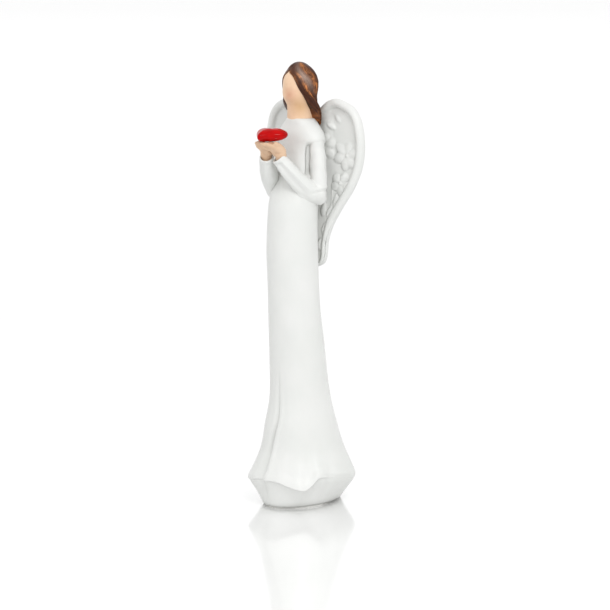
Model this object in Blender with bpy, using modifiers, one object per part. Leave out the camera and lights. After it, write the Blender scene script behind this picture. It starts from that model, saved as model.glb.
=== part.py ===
"""Resin angel figurine: a slender robed figure with wings that holds a heart in both hands.

The figure stands on the XY plane, looks along -Y and has its base centred on the origin.
Its own left side is +X. Stations and places are written in millimetres and turned into
metres by point(). Glued joints keep a bond line of GAP between the pieces.
"""

import math

import bmesh
import bpy
from mathutils import Vector

MM = 0.001
GAP = 0.3

# Driving dimensions, in millimetres
FIGURE_HEIGHT = 300.0
PAD_THICKNESS = 1.2
GOWN_BOTTOM = PAD_THICKNESS + GAP
COLLAR_HEIGHT = 261.2
HEM_LEVEL = 17.0
HEM_SPREAD = 5.0
HEM_WAVE = 1.8
HEM_WAVE_COUNT = 5
HEM_WAVE_START = 2.2
FOLD_FOOT = 18.0
FOLD_FADE_HEIGHT = 16.0
HEAD_TURN = math.radians(-12.0)
HEAD_AXIS = (-0.2, -0.9)
PIN_RADIUS = 1.0
WING_PIN_OFFSET = 4.3
WING_PIN_ENDS = (3.4, 12.4)
WING_PIN_HEIGHTS = {"upper": 244.6, "lower": 203.0}
SHOULDER_PIN_ENDS = (7.4, 15.6)
SHOULDER_PIN_DEPTH = -2.0
SHOULDER_PIN_HEIGHT = 246.5
CORE_TOP = 140.0
CORE_FOOT_RADIUS = 11.5
CORE_TOP_RADIUS = 8.0
CORE_SEGMENTS = 24
PLUG_RADIUS = 12.5
PLUG_THICKNESS = 3.0
NECK_SPIGOT_RADIUS = 6.0
NECK_SPIGOT_BOTTOM = 253.0

# Gown: height, half width, half depth and centre in Y of its level sections
GOWN_STATIONS = (
    (GOWN_BOTTOM, 22.0, 32.5, 0.5),
    (8.0, 27.0, 35.3, 0.5),
    (16.0, 34.0, 38.6, 0.5),
    (19.0, 32.6, 37.2, 0.8),
    (24.0, 30.6, 35.0, 1.2),
    (38.0, 25.3, 29.0, 0.9),
    (55.0, 22.6, 25.0, -0.8),
    (75.0, 20.1, 21.2, -1.8),
    (105.0, 19.0, 19.0, -4.7),
    (140.0, 17.7, 17.4, -8.0),
    (172.0, 17.3, 17.2, -9.6),
    (195.0, 17.1, 16.6, -9.1),
    (208.0, 16.2, 15.2, -6.9),
    (223.0, 14.6, 12.8, -3.4),
    (238.0, 14.0, 11.4, -1.2),
    (249.0, 15.6, 10.8, -0.8),
    (254.0, 15.2, 10.2, -0.6),
    (258.0, 12.4, 9.8, -0.4),
    (COLLAR_HEIGHT, 9.9, 9.6, -0.2),
)
GOWN_LEVELS = (
    GOWN_BOTTOM, 5.0, 10.5, 16.0, 17.4, 20.5, 25.0, 31.0, 38.0, 47.0, 58.0, 72.0, 90.0, 115.0,
    145.0, 172.0, 190.0, 200.0, 209.0, 218.0, 228.0, 238.0, 246.0, 251.0, 255.0, 258.5, COLLAR_HEIGHT,
)
GOWN_SEGMENTS = 40

# Folds of the skirt: direction in degrees from the front towards the figure's left,
# half width in degrees, height in millimetres at the hem (negative for a groove), top end
SKIRT_FOLDS = (
    (-9.0, 9.0, -2.6, 85.0),
    (42.0, 17.0, 1.2, 50.0),
    (72.0, 12.0, -1.4, 45.0),
    (128.0, 20.0, 1.0, 60.0),
    (168.0, 11.0, -2.0, 80.0),
    (-150.0, 18.0, 1.2, 60.0),
    (-108.0, 12.0, -1.6, 60.0),
    (-52.0, 18.0, 1.2, 60.0),
)

# Wings: height, inner edge and outer edge measured from the spine
WING_STATIONS = (
    (160.8, 2.4, 4.8),
    (163.0, 0.6, 9.4),
    (168.0, 0.2, 12.0),
    (178.0, 0.2, 13.0),
    (190.0, 0.2, 17.4),
    (202.0, 0.2, 25.0),
    (215.0, 0.2, 33.9),
    (229.0, 0.2, 40.0),
    (243.0, 0.2, 41.8),
    (256.0, 0.6, 40.4),
    (264.0, 3.5, 37.6),
    (270.0, 9.5, 32.6),
    (273.4, 14.0, 25.6),
    (274.8, 18.0, 21.0),
)
WING_LEVEL_COUNT = 24
WING_MIDDLE = 11.0
WING_SWEEP = 0.08
WING_HALF_THICKNESS = 2.9
WING_RIM_WIDTH = 6.0
WING_FIELD_RECESS = 1.5
WING_ROOT_DEPTH = 3.4
WING_ROOT_WIDTH = 10.0

# Left arm: places of the shoulder, elbow and cuff, and the sleeve's radius there
SHOULDER = (14.0, -2.0, 250.8)
ELBOW = (17.0, -10.0, 212.2)
CUFF = (5.9, -29.0, 234.6)
SHOULDER_RADIUS = 6.3
UPPER_ARM_RADIUS = 5.9
ELBOW_RADIUS = 7.0
CUFF_RADIUS = 5.4

# Left hand: key, place (x, y, z), half width and half thickness from the wrist to the fingertips
HAND_STATIONS = (
    (0.0, 8.2, -25.2, 230.2, 2.9, 2.9),
    (1.0, 5.9, -28.8, 234.8, 3.2, 3.2),
    (2.0, 6.1, -30.4, 239.2, 4.9, 4.2),
    (3.0, 5.9, -33.8, 242.0, 5.4, 4.0),
    (4.0, 5.3, -37.6, 243.6, 4.8, 3.2),
    (5.0, 4.6, -40.8, 245.0, 2.8, 1.8),
)
HAND_LEVEL_COUNT = 11
HAND_SEGMENTS = 14

# Heart: middle of its back edge, overall width, length and thickness, and the dip of its tip
HEART_BACK = (0.0, -23.8, 252.2)
HEART_WIDTH = 24.0
HEART_LENGTH = 22.0
HEART_THICKNESS = 9.6
HEART_CAP_ANGLE = 75.0
HEART_SEGMENTS = 28
HEART_DIP = math.radians(4.0)

# Head and neck, turned about their upright axis: radius and height, crown to collar
HEAD_PROFILE = (
    (3.4, 297.6),
    (6.4, 295.8),
    (9.2, 292.0),
    (10.7, 287.6),
    (11.1, 283.0),
    (10.7, 278.6),
    (9.7, 274.6),
    (9.0, 271.0),
    (8.8, 266.0),
    (9.0, COLLAR_HEIGHT + GAP),
)

# Hair: height, half width, half depth and centre in Y, in the head's own direction
HAIR_STATIONS = (
    (257.8, 14.6, 7.4, 0.6),
    (262.0, 14.8, 8.2, 0.5),
    (268.0, 13.4, 9.6, 0.4),
    (276.0, 12.2, 11.0, -0.1),
    (282.0, 12.3, 12.1, -0.4),
    (288.0, 12.2, 12.2, -0.3),
    (293.5, 10.5, 10.8, 0.0),
    (297.5, 7.0, 7.2, 0.2),
    (299.5, 3.4, 3.6, 0.3),
    (FIGURE_HEIGHT, 1.2, 1.2, 0.3),
)
HAIR_LEVEL_COUNT = 15
HAIR_SEGMENTS = 28

# Front line of the hair in side view: Y and height, from above the brow to below the locks
HAIR_FRONT_LINE = (
    (-12.6, 293.6),
    (-10.6, 288.0),
    (-8.4, 283.0),
    (-5.8, 278.0),
    (-2.8, 271.5),
    (-0.6, 265.0),
    (1.6, 255.0),
)


def point(x, y, z):
    """A place given in millimetres, in metres."""
    return Vector((x, y, z)) * MM


def smooth(stations, key):
    """Values at key on a smooth curve through stations, each a rising key and its values."""
    keys = [station[0] for station in stations]
    key = min(max(key, keys[0]), keys[-1])
    start = max(i for i in range(len(keys) - 1) if keys[i] <= key)
    span = keys[start + 1] - keys[start]
    t = (key - keys[start]) / span

    def slope(i, column):
        before = max(i - 1, 0)
        after = min(i + 1, len(keys) - 1)
        rise = stations[after][column] - stations[before][column]
        return rise / (keys[after] - keys[before])

    values = []
    for column in range(1, len(stations[0])):
        values.append(
            (2 * t**3 - 3 * t**2 + 1) * stations[start][column]
            + (t**3 - 2 * t**2 + t) * span * slope(start, column)
            + (3 * t**2 - 2 * t**3) * stations[start + 1][column]
            + (t**3 - t**2) * span * slope(start + 1, column)
        )
    return values


def steps(first, last, count):
    """Evenly spaced numbers, both ends included."""
    return [first + (last - first) * i / (count - 1) for i in range(count)]


def clear_scene():
    for old in list(bpy.data.objects):
        bpy.data.objects.remove(old, do_unlink=True)


def new_collection(name):
    collection = bpy.data.collections.new(name)
    bpy.context.scene.collection.children.link(collection)
    return collection


def new_material(name, colour, roughness, metallic=0.0):
    material = bpy.data.materials.new(name)
    material.use_nodes = True
    material.diffuse_color = (*colour, 1.0)
    shader = material.node_tree.nodes["Principled BSDF"]
    shader.inputs["Base Color"].default_value = (*colour, 1.0)
    shader.inputs["Roughness"].default_value = roughness
    shader.inputs["Metallic"].default_value = metallic
    return material


def place(obj, collection, material=None):
    """Move obj to the collection; a piece gets its material, a cutter is drawn as wire."""
    for owner in list(obj.users_collection):
        owner.objects.unlink(obj)
    collection.objects.link(obj)
    if material:
        obj.data.materials.clear()
        obj.data.materials.append(material)
        return obj
    obj.hide_render = True
    obj.display_type = "WIRE"
    return obj


def loft(name, rings):
    """A closed solid through rings of points, with a flat cap at each end."""
    bm = bmesh.new()
    loops = [[bm.verts.new(p) for p in ring] for ring in rings]
    count = len(loops[0])
    for lower, upper in zip(loops, loops[1:]):
        for i in range(count):
            j = (i + 1) % count
            bm.faces.new((lower[i], lower[j], upper[j], upper[i]))
    bm.faces.new(loops[0])
    bm.faces.new(loops[-1])
    bmesh.ops.recalc_face_normals(bm, faces=bm.faces)
    mesh = bpy.data.meshes.new(name)
    bm.to_mesh(mesh)
    bm.free()
    mesh.shade_smooth()
    mesh.set_sharp_from_angle(angle=math.radians(40))
    return bpy.data.objects.new(name, mesh)


def boolean(target, tool, operation):
    modifier = target.modifiers.new(f"{operation.lower()} {tool.name}", "BOOLEAN")
    modifier.operation = operation
    modifier.solver = "EXACT"
    modifier.object = tool


def cylinder(name, start, end, radius, vertices=14):
    """A round bar between two places given in millimetres."""
    start, end = Vector(start), Vector(end)
    axis = end - start
    bpy.ops.mesh.primitive_cylinder_add(
        vertices=vertices,
        radius=radius * MM,
        depth=axis.length * MM,
        location=(start + end) / 2 * MM,
        rotation=axis.to_track_quat("Z", "Y").to_euler(),
    )
    bar = bpy.context.object
    bar.name = name
    return bar


def ball(name, centre, radius):
    bpy.ops.mesh.primitive_uv_sphere_add(
        segments=18, ring_count=10, radius=radius * MM, location=Vector(centre) * MM
    )
    bpy.context.object.name = name
    return bpy.context.object


# Gown


def fold_height(direction, height):
    """How far the skirt's folds stand out at a direction in degrees and a height."""
    total = 0.0
    for middle, half_width, rise, top in SKIRT_FOLDS:
        off = (direction - middle + 180.0) % 360.0 - 180.0
        reach = min(max((top - height) / (top - FOLD_FOOT), 0.0), 1.0)
        total += rise * reach * math.exp(-((off / half_width) ** 2))
    return total * min(height / FOLD_FADE_HEIGHT, 1.0)


def gown_ring(height, grow):
    half_width, half_depth, centre = smooth(GOWN_STATIONS, height)
    hem_share = math.exp(-(((height - HEM_LEVEL) / HEM_SPREAD) ** 2))
    ring = []
    for i in range(GOWN_SEGMENTS):
        angle = 2 * math.pi * i / GOWN_SEGMENTS
        rise = fold_height(math.degrees(angle), height) + grow
        wave = HEM_WAVE * hem_share * math.cos(HEM_WAVE_COUNT * angle - HEM_WAVE_START)
        ring.append(
            point(
                (half_width + rise) * math.sin(angle),
                centre - (half_depth + rise) * math.cos(angle),
                height + wave,
            )
        )
    return ring


def gown_solid(name, grow=0.0):
    return loft(name, [gown_ring(height, grow) for height in GOWN_LEVELS])


def core_solid(name):
    """The hollow that the casting core leaves, following the gown's lean."""
    rings = []
    for height in steps(-1.0, CORE_TOP, 9):
        centre = smooth(GOWN_STATIONS, height)[2]
        radius = CORE_FOOT_RADIUS + (CORE_TOP_RADIUS - CORE_FOOT_RADIUS) * height / CORE_TOP
        angles = [2 * math.pi * i / CORE_SEGMENTS for i in range(CORE_SEGMENTS)]
        rings.append([point(radius * math.sin(a), centre - radius * math.cos(a), height) for a in angles])
    return loft(name, rings)


# Wings


def wing_section(height, side, grow):
    """Level section of one wing: a raised round rim outside, a shallow recessed field inside.

    The root, next to the spine, is thicker towards the front, where it meets the back.
    """
    inner, outer = smooth(WING_STATIONS, height)
    outer += grow
    width = outer - inner
    depth = min(WING_HALF_THICKNESS, 0.42 * width) + grow
    rim = min(WING_RIM_WIDTH, 0.4 * width)
    recess = WING_FIELD_RECESS * min(max((width - 10.0) / 12.0, 0.0), 1.0)
    below_collar = min(max((COLLAR_HEIGHT - height) / WING_ROOT_WIDTH, 0.0), 1.0)
    root = WING_ROOT_DEPTH * min(width / WING_ROOT_WIDTH, 1.0) * below_collar
    front = [
        (inner, -depth - root),
        (inner + 0.12 * width, -depth - root),
        (inner + 0.45 * (width - rim), -depth),
        (inner + 0.8 * (width - rim), -depth + 0.6 * recess),
        (outer - rim, -depth + recess),
        (outer - 0.72 * rim, -0.95 * depth),
    ]
    edge = []
    for turn in steps(-70.0, 70.0, 5):
        edge.append(
            (
                outer - 0.45 * rim * (1 - math.cos(math.radians(turn))),
                depth * math.sin(math.radians(turn)),
            )
        )
    back = [
        (outer - 0.72 * rim, 0.97 * depth),
        (inner + 0.7 * (width - rim), 0.9 * depth),
        (inner + 0.35 * (width - rim), 0.9 * depth),
        (inner, 0.75 * depth),
    ]
    return [point(side * x, WING_MIDDLE + WING_SWEEP * x + y, height) for x, y in front + edge + back]


def wing_levels():
    """Heights of the wing's sections, closer together near its ends."""
    low, high = WING_STATIONS[0][0], WING_STATIONS[-1][0]
    levels = []
    for share in steps(0.0, 1.0, WING_LEVEL_COUNT):
        eased = (1 - math.cos(math.pi * share)) / 2
        levels.append(low + (high - low) * (0.25 * share + 0.75 * eased))
    return levels


def wing_solid(name, side):
    return loft(name, [wing_section(height, side, 0.0) for height in wing_levels()])


def wings_room(name):
    """The space of both wings in one solid, wider than them by a generous bond line."""
    levels = wing_levels()
    spare = 1.6 * GAP
    rings = []
    for height in [levels[0] - spare, *levels, levels[-1] + spare]:
        left = wing_section(height, 1, spare)
        right = wing_section(height, -1, spare)
        spine_front = Vector((0.0, left[0].y, 0.0))
        spine_back = Vector((0.0, left[-1].y, 0.0))
        outline = [spine_front, *left[1:-1], spine_back, *right[-2:0:-1]]
        rings.append([Vector((p.x, p.y, height * MM)) for p in outline])
    return loft(name, rings)


# Arms


def mirrored(place_mm, side):
    x, y, z = place_mm
    return Vector((side * x, y, z))


def sleeve_tube(name, start, end, start_radius, end_radius):
    """A tapered tube with closed ends, from a curve whose radius changes along it."""
    data = bpy.data.curves.new(name, "CURVE")
    data.dimensions = "3D"
    data.bevel_depth = MM
    data.bevel_resolution = 6
    data.use_fill_caps = True
    spline = data.splines.new("POLY")
    shares = steps(0.0, 1.0, 5)
    spline.points.add(len(shares) - 1)
    for spline_point, share in zip(spline.points, shares):
        spline_point.co = (*(start.lerp(end, share) * MM), 1.0)
        spline_point.radius = start_radius + (end_radius - start_radius) * share
    curve = bpy.data.objects.new(name + "_curve", data)
    bpy.context.scene.collection.objects.link(curve)
    evaluated = curve.evaluated_get(bpy.context.evaluated_depsgraph_get())
    mesh = bpy.data.meshes.new_from_object(evaluated)
    bm = bmesh.new()
    bm.from_mesh(mesh)
    bmesh.ops.remove_doubles(bm, verts=bm.verts, dist=0.01 * MM)
    bmesh.ops.recalc_face_normals(bm, faces=bm.faces)
    bm.to_mesh(mesh)
    bm.free()
    tube = bpy.data.objects.new(name, mesh)
    tube.matrix_world = curve.matrix_world
    bpy.data.objects.remove(curve)
    return tube


def sleeve_solid(name, side, cutters, grow=0.0):
    """Upper arm and forearm joined by balls at the shoulder and the elbow."""
    shoulder, elbow, cuff = (mirrored(p, side) for p in (SHOULDER, ELBOW, CUFF))
    reach = cuff + (cuff - elbow).normalized() * grow
    sleeve = sleeve_tube(name, elbow, reach, ELBOW_RADIUS - 0.1 + grow, CUFF_RADIUS + grow)
    upper = sleeve_tube(
        name + "_upper", shoulder, elbow, UPPER_ARM_RADIUS + grow, ELBOW_RADIUS - 0.4 + grow
    )
    parts = [
        upper,
        ball(name + "_shoulder", shoulder, SHOULDER_RADIUS + grow),
        ball(name + "_elbow", elbow, ELBOW_RADIUS + 0.2 + grow),
    ]
    for part in parts:
        place(part, cutters)
        boolean(sleeve, part, "UNION")
    return sleeve


def hand_solid(name, side, grow=0.0):
    """A cupped hand as one loft: wrist tenon, palm and closed fingers."""
    rings = []
    last = HAND_STATIONS[-1][0]
    for key in steps(0.0, last, HAND_LEVEL_COUNT):
        x, y, z, half_width, half_thickness = smooth(HAND_STATIONS, key)
        ahead = Vector(smooth(HAND_STATIONS, min(key + 0.2, last))[:3])
        behind = Vector(smooth(HAND_STATIONS, max(key - 0.2, 0.0))[:3])
        along = (ahead - behind).normalized()
        across = along.cross(Vector((0, 0, 1))).normalized()
        upward = across.cross(along).normalized()
        middle = Vector((x, y, z)) + along * grow * (2 * key / last - 1)
        ring = []
        for i in range(HAND_SEGMENTS):
            angle = 2 * math.pi * i / HAND_SEGMENTS
            offset = across * (half_width + grow) * math.cos(angle)
            offset += upward * (half_thickness + grow) * math.sin(angle)
            ring.append(mirrored(middle + offset, side) * MM)
        rings.append(ring)
    return loft(name, rings)


# Heart


def heart_outline(share):
    """Unit heart curve with its tip towards -Y and the middle of its back edge near Y 0."""
    t = 2 * math.pi * share
    across = math.sin(t) ** 3
    along = (13 * math.cos(t) - 5 * math.cos(2 * t) - 2 * math.cos(3 * t) - math.cos(4 * t)) / 29.0
    return across / 2, along - 11.9 / 29.0


def heart_solid(name, grow=0.0):
    """Level slices of the heart outline, shrinking towards the puffed top and underside."""
    rings = []
    for lift in steps(-HEART_CAP_ANGLE, HEART_CAP_ANGLE, 9):
        scale = math.cos(math.radians(lift)) ** 0.8
        rise = math.sin(math.radians(lift)) / math.sin(math.radians(HEART_CAP_ANGLE))
        rise *= HEART_THICKNESS / 2 + grow
        ring = []
        for i in range(HEART_SEGMENTS):
            x, y = heart_outline((i + 0.5) / HEART_SEGMENTS)
            x *= (HEART_WIDTH + 2 * grow) * scale
            y = -0.5 + (y + 0.5) * scale
            y *= HEART_LENGTH + 2 * grow
            ring.append(point(x, y + grow, rise))
        rings.append(ring)
    heart = loft(name, rings)
    heart.location = Vector(HEART_BACK) * MM
    heart.rotation_euler = (HEART_DIP, 0, 0)
    return heart


# Head and hair


def head_solid(name, grow=0.0):
    """Blank head, neck and spigot, turned about the neck's axis with Screw."""
    top = (0.0, FIGURE_HEIGHT - 1.8 + grow)
    body = [(radius + grow, height) for radius, height in HEAD_PROFILE]
    spigot = [
        (NECK_SPIGOT_RADIUS + grow, COLLAR_HEIGHT + GAP),
        (NECK_SPIGOT_RADIUS + grow, NECK_SPIGOT_BOTTOM - grow),
        (0.0, NECK_SPIGOT_BOTTOM - grow),
    ]
    profile = [top, *body, *spigot]
    mesh = bpy.data.meshes.new(name)
    edges = [(i, i + 1) for i in range(len(profile) - 1)]
    mesh.from_pydata([point(radius, 0.0, height) for radius, height in profile], edges, [])
    head = bpy.data.objects.new(name, mesh)
    screw = head.modifiers.new("turn", "SCREW")
    screw.axis = "Z"
    screw.steps = screw.render_steps = 28
    screw.use_merge_vertices = True
    screw.merge_threshold = 0.00001
    screw.use_smooth_shade = True
    head.location = point(*HEAD_AXIS, 0.0)
    head.rotation_euler.z = HEAD_TURN
    return head


def hair_solid(name):
    rings = []
    low, high = HAIR_STATIONS[0][0], HAIR_STATIONS[-1][0]
    for share in steps(0.0, 1.0, HAIR_LEVEL_COUNT):
        height = low + (high - low) * math.sin(math.pi / 2 * share)
        half_width, half_depth, centre = smooth(HAIR_STATIONS, height)
        angles = [2 * math.pi * i / HAIR_SEGMENTS for i in range(HAIR_SEGMENTS)]
        rings.append(
            [point(half_width * math.sin(a), centre - half_depth * math.cos(a), height) for a in angles]
        )
    hair = loft(name, rings)
    hair.rotation_euler.z = HEAD_TURN
    return hair


def face_window(name):
    """Everything in front of the hair's front line, as wide as the head."""
    front = -30.0
    outline = [(front, HAIR_FRONT_LINE[0][1] + 1.5), *HAIR_FRONT_LINE, (front, HAIR_FRONT_LINE[-1][1])]
    rings = [[point(x, y, z) for y, z in outline] for x in (-25.0, 25.0)]
    window = loft(name, rings)
    window.rotation_euler.z = HEAD_TURN
    return window


# Base


def felt_pad(name):
    """Flat oval pad: a filled outline with half its thickness extruded to each side."""
    bpy.ops.curve.primitive_bezier_circle_add(radius=1.0)
    pad = bpy.context.object
    pad.name = name
    data = pad.data
    data.dimensions = "2D"
    data.fill_mode = "BOTH"
    data.resolution_u = 10
    data.extrude = PAD_THICKNESS / 2 * MM
    half_width, half_depth, _ = GOWN_STATIONS[0][1:]
    size = Vector(((half_width - 1.5) * MM, (half_depth - 1.5) * MM, 1.0))
    for knot in data.splines[0].bezier_points:
        left, middle, right = knot.handle_left * size, knot.co * size, knot.handle_right * size
        knot.handle_left_type = knot.handle_right_type = "FREE"
        knot.handle_left = left
        knot.co = middle
        knot.handle_right = right
    pad.location.z = PAD_THICKNESS / 2 * MM
    return pad


def base_plug(name):
    plug = cylinder(
        name, (0, 0.5, GOWN_BOTTOM), (0, 0.5, GOWN_BOTTOM + PLUG_THICKNESS), PLUG_RADIUS, vertices=32
    )
    bevel = plug.modifiers.new("eased edge", "BEVEL")
    bevel.width = 0.4 * MM
    bevel.segments = 2
    bevel.limit_method = "ANGLE"
    return plug


# Assembly


def pin_places():
    """Name, start and end of each steel pin, with the two pieces that it joins."""
    rows = []
    for side, word in ((1, "left"), (-1, "right")):
        for level, height in WING_PIN_HEIGHTS.items():
            start, end = ((side * WING_PIN_OFFSET, depth, height) for depth in WING_PIN_ENDS)
            rows.append((f"{word}_wing_pin_{level}", start, end, "gown_body", f"{word}_wing"))
        start, end = ((side * x, SHOULDER_PIN_DEPTH, SHOULDER_PIN_HEIGHT) for x in SHOULDER_PIN_ENDS)
        rows.append((f"{word}_shoulder_pin", start, end, "gown_body", f"{word}_sleeve"))
    return rows


def add_pins(pieces, cutters, steel, collection):
    for name, start, end, first, second in pin_places():
        pieces[name] = place(cylinder(name, start, end, PIN_RADIUS), collection, steel)
        spare = (Vector(end) - Vector(start)).normalized() * GAP
        hole = cylinder(name + "_hole", Vector(start) - spare, Vector(end) + spare, PIN_RADIUS + GAP)
        place(hole, cutters)
        boolean(pieces[first], hole, "DIFFERENCE")
        boolean(pieces[second], hole, "DIFFERENCE")


def build():
    clear_scene()
    collection = new_collection("angel_figurine")
    cutters = new_collection("cutters")
    resin = new_material("ivory resin", (0.80, 0.80, 0.76), 0.38)
    skin = new_material("skin paint", (0.80, 0.56, 0.38), 0.45)
    brown = new_material("brown hair paint", (0.11, 0.035, 0.015), 0.35)
    red = new_material("red enamel", (0.55, 0.004, 0.004), 0.12)
    steel = new_material("steel", (0.55, 0.55, 0.55), 0.3, 1.0)
    felt = new_material("felt", (0.55, 0.55, 0.53), 0.95)

    pieces = {
        "gown_body": place(gown_solid("gown_body"), collection, resin),
        "base_plug": place(base_plug("base_plug"), collection, resin),
        "felt_pad": place(felt_pad("felt_pad"), collection, felt),
        "head_and_neck": place(head_solid("head_and_neck"), collection, skin),
        "hair": place(hair_solid("hair"), collection, brown),
        "heart": place(heart_solid("heart"), collection, red),
    }
    gown = pieces["gown_body"]
    boolean(gown, place(core_solid("core"), cutters), "DIFFERENCE")
    seat = cylinder(
        "plug_seat", (0, 0.5, -1.0), (0, 0.5, GOWN_BOTTOM + PLUG_THICKNESS + GAP), PLUG_RADIUS + GAP, 32
    )
    boolean(gown, place(seat, cutters), "DIFFERENCE")
    boolean(gown, place(head_solid("neck_socket", GAP), cutters), "DIFFERENCE")

    boolean(pieces["hair"], place(face_window("face_window"), cutters), "DIFFERENCE")
    boolean(pieces["hair"], place(head_solid("head_room", GAP), cutters), "DIFFERENCE")
    boolean(pieces["hair"], place(gown_solid("shoulder_room", GAP), cutters), "DIFFERENCE")

    wing_space = place(wings_room("wings_room"), cutters)
    boolean(gown, wing_space, "DIFFERENCE")
    boolean(pieces["hair"], wing_space, "DIFFERENCE")

    heart_room = place(heart_solid("heart_room", GAP), cutters)
    for side, word in ((1, "left"), (-1, "right")):
        wing = place(wing_solid(f"{word}_wing", side), collection, resin)
        sleeve = place(sleeve_solid(f"{word}_sleeve", side, cutters), collection, resin)
        sleeve_room = place(sleeve_solid(f"{word}_sleeve_room", side, cutters, GAP), cutters)
        hand = place(hand_solid(f"{word}_hand", side), collection, skin)
        hand_room = place(hand_solid(f"{word}_hand_room", side, GAP), cutters)
        boolean(gown, sleeve_room, "DIFFERENCE")
        boolean(pieces["hair"], sleeve_room, "DIFFERENCE")
        boolean(sleeve, hand_room, "DIFFERENCE")
        boolean(hand, heart_room, "DIFFERENCE")
        pieces.update({wing.name: wing, sleeve.name: sleeve, hand.name: hand})
    add_pins(pieces, cutters, steel, collection)


build()
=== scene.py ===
"""Looks of the resin angel figurine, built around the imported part.

The figure looks along -Y and its own left side is +X. Places are written in design
millimetres, UNIT metres each, and the figure is FIGURE_HEIGHT of them tall. Directions
round an upright axis are degrees from the front (-Y) towards the figure's left (+X).
"""

import math

import bmesh
import bpy
import numpy as np
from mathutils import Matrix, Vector


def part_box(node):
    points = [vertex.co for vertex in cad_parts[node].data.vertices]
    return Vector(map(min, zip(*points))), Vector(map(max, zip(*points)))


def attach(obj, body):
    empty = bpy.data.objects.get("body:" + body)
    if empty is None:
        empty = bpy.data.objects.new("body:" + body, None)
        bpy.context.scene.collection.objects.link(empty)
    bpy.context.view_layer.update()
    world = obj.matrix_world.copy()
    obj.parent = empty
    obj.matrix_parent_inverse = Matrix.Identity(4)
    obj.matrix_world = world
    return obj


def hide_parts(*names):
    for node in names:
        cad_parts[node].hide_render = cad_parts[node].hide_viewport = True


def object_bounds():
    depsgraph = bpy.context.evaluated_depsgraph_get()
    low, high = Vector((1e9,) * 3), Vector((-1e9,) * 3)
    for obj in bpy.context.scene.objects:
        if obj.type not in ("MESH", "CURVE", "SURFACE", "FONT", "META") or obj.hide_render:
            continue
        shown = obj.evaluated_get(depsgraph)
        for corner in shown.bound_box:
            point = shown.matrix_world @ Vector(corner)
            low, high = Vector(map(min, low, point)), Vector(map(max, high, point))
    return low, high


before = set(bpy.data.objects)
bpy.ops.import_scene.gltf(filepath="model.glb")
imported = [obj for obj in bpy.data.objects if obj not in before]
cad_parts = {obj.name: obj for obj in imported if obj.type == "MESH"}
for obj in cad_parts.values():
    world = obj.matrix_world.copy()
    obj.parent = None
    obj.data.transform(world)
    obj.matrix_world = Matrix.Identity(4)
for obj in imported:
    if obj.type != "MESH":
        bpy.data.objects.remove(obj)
CAD_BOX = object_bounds()

# Driving dimensions, in design millimetres
FIGURE_HEIGHT = 300.0
UNIT = (CAD_BOX[1].z - CAD_BOX[0].z) / FIGURE_HEIGHT
GOWN_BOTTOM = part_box("gown_body")[0].z / UNIT
HEAD_TURN = math.radians(-12.0)
HEAD_AXIS = np.array((-0.2, -0.9, 0.0))

# Gown: base outline, then height, half width, half depth and centre in Y from the hem up
BASE_HALF_WIDTH = 22.0
BASE_HALF_DEPTH = 32.5
HEM_HEIGHT = 16.0
HEM_FADE_TOP = 48.0
GOWN_STATIONS = (
    (HEM_HEIGHT, 34.2, 38.8, 0.5),
    (19.0, 33.2, 37.8, 0.8),
    (24.0, 31.0, 35.6, 1.2),
    (38.0, 26.2, 30.0, 0.9),
    (55.0, 23.3, 25.8, -0.8),
    (75.0, 20.1, 21.2, -1.8),
    (105.0, 19.0, 19.0, -4.7),
    (140.0, 17.7, 17.4, -8.0),
    (172.0, 17.3, 17.2, -9.6),
    (195.0, 17.2, 16.8, -9.4),
    (208.0, 16.8, 16.0, -8.2),
    (223.0, 15.2, 13.4, -4.2),
    (238.0, 15.4, 11.8, -1.4),
    (247.0, 16.8, 11.4, -0.9),
    (253.0, 16.2, 10.8, -0.6),
    (258.4, 13.0, 9.9, -0.4),
    (261.6, 10.3, 9.8, -0.2),
    (262.4, 9.6, 9.4, -0.2),
)
GOWN_COLUMNS = 300
GOWN_ROWS = (
    (GOWN_BOTTOM, 12.0, 14),
    (12.0, 27.0, 62),
    (27.0, 100.0, 70),
    (100.0, 190.0, 46),
    (190.0, GOWN_STATIONS[-1][0], 84),
)

# Hem edge: direction, height and how crisp the edge is there
HEM_EDGE = (
    (-170.0, 19.5, 0.3),
    (-135.0, 15.6, 0.4),
    (-95.0, 20.0, 0.4),
    (-50.0, 16.8, 0.5),
    (-22.0, 19.2, 0.7),
    (4.0, 20.5, 1.0),
    (17.0, 19.8, 1.0),
    (28.0, 17.4, 1.0),
    (40.0, 15.2, 1.0),
    (47.0, 14.7, 1.0),
    (54.0, 17.6, 1.0),
    (62.0, 22.2, 0.9),
    (70.0, 22.4, 0.4),
    (90.0, 20.5, 0.0),
    (130.0, 16.8, 0.2),
    (165.0, 19.5, 0.3),
)
HEM_LIP = 1.2
HEM_ROUNDING = 1.0

# Broad folds of the skirt: direction, half width, rise at the hem, top end
SKIRT_FOLDS = (
    (42.0, 15.0, 1.4, 52.0),
    (76.0, 9.0, -1.3, 40.0),
    (130.0, 17.0, 1.4, 70.0),
    (168.0, 10.0, -2.2, 90.0),
    (-158.0, 14.0, 1.3, 70.0),
    (-112.0, 12.0, -1.8, 66.0),
    (-48.0, 16.0, 1.5, 62.0),
)

# Front pleat: height, direction of the panel's edge, depth beside it and width in degrees
PLEAT_STATIONS = (
    (GOWN_BOTTOM, -2.5, 1.5, 12.0),
    (16.0, -2.5, 4.2, 15.0),
    (26.0, -2.8, 4.2, 13.0),
    (41.0, -3.0, 3.5, 9.0),
    (52.0, 0.5, 2.7, 7.5),
    (61.0, 4.0, 1.9, 7.0),
    (75.0, 1.0, 1.0, 7.0),
    (95.0, 0.0, 0.0, 6.0),
)

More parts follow.
